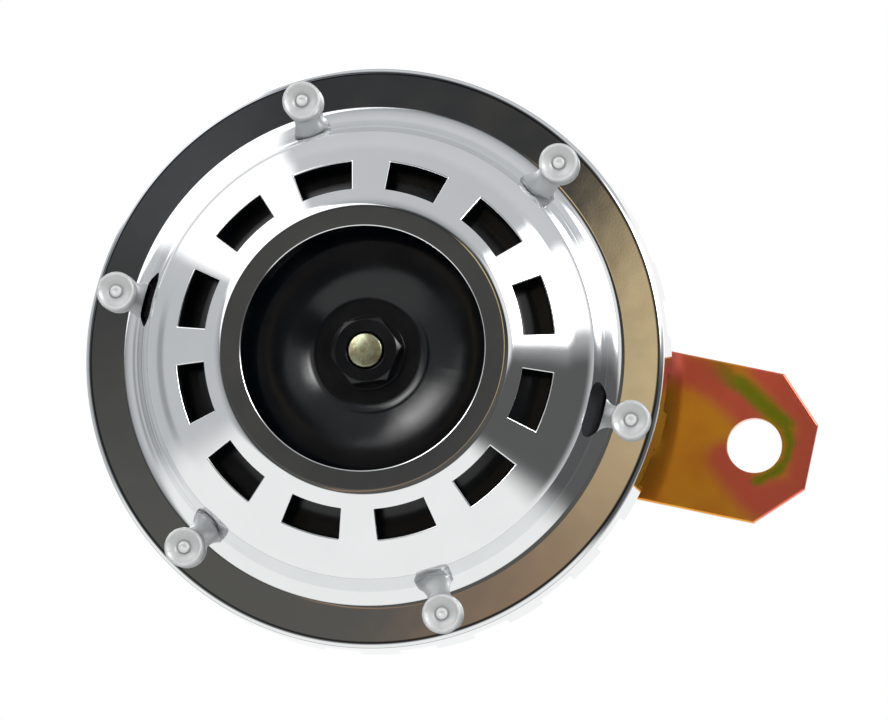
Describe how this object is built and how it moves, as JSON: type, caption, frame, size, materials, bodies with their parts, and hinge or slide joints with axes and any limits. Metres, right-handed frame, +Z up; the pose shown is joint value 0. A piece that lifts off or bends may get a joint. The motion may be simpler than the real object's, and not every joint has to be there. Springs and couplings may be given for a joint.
{
  "type": "car horn",
  "caption": "Round electric disc horn: chromed slotted front cover, black tone disc behind its mouth, and a plated strap bracket with a hole at the free end.",
  "frame": {"origin": "centre of the bracket's free hole, on the bracket's rear face, which meets the vehicle", "axes": "-Y is the way the horn sounds, +X runs from the horn axis along the bracket to its free hole, +Z is up"},
  "size_m": [0.1185, 0.0491, 0.095],
  "materials": {
    "chrome_plate": "polished chrome plate",
    "rivet_alloy": "satin, upset",
    "gasket_paper": "oiled gasket paper",
    "spring_steel": "rolled",
    "black_enamel": "satin black enamel",
    "gloss_black": "gloss black paint",
    "yellow_zinc": "yellow chromate over zinc",
    "stud_zinc": "pale yellow zinc",
    "clear_zinc": "clear zinc plate",
    "soft_iron": "turned",
    "bobbin_nylon": "moulded",
    "enamelled_copper": "enamelled wire, copper weighed as brass",
    "phenolic": "moulded",
    "spring_bronze": "rolled",
    "tungsten": "ground",
    "tinned_brass": "tinned",
    "resistor_ceramic": "glazed body on tinned leads"
  },
  "bodies": {
    "horn_body": {"front_cover": "chrome_plate", "cover_rivets": "rivet_alloy", "front_gasket": "gasket_paper", "diaphragm": "spring_steel", "rear_gasket": "gasket_paper", "housing": "black_enamel", "pole_core": "yellow_zinc", "coil_bobbin": "bobbin_nylon", "coil_winding": "enamelled_copper", "coil_leads": "enamelled_copper", "contact_block": "phenolic", "live_strap": "tinned_brass", "fixed_contact_leaf": "spring_bronze", "fixed_contact_tip": "tungsten", "contact_insulator": "phenolic", "moving_contact_leaf": "spring_bronze", "moving_contact_tip": "tungsten", "clamp_insulator": "phenolic", "contact_clamp_plate": "clear_zinc", "contact_rivets": "tinned_brass", "adjusting_screw": "clear_zinc", "adjusting_weld_nut": "clear_zinc", "adjusting_lock_nut": "clear_zinc", "spark_resistor": "resistor_ceramic", "terminal_plate": "phenolic", "inner_terminal_plate": "phenolic", "live_terminal": "tinned_brass", "earth_terminal": "tinned_brass", "earth_strap": "tinned_brass", "terminal_rivets": "tinned_brass", "bracket": "yellow_zinc", "mounting_washer": "yellow_zinc", "mounting_lock_washer": "yellow_zinc", "mounting_nut": "yellow_zinc"},
    "vibrator": {"tone_disc": "gloss_black", "tone_disc_washer": "gloss_black", "tone_disc_nut": "gloss_black", "armature_stud": "stud_zinc", "tone_disc_spacer": "clear_zinc", "diaphragm_washer": "clear_zinc", "armature": "soft_iron"}
  },
  "joints": [
    {"name": "armature_travel", "type": "slide", "parent": "horn_body", "child": "vibrator", "axis": [0, 1, 0], "range_m": [-0.0004, 0.0004], "stiffness_N_per_m": 40000, "deforming": ["diaphragm"]}
  ]
}
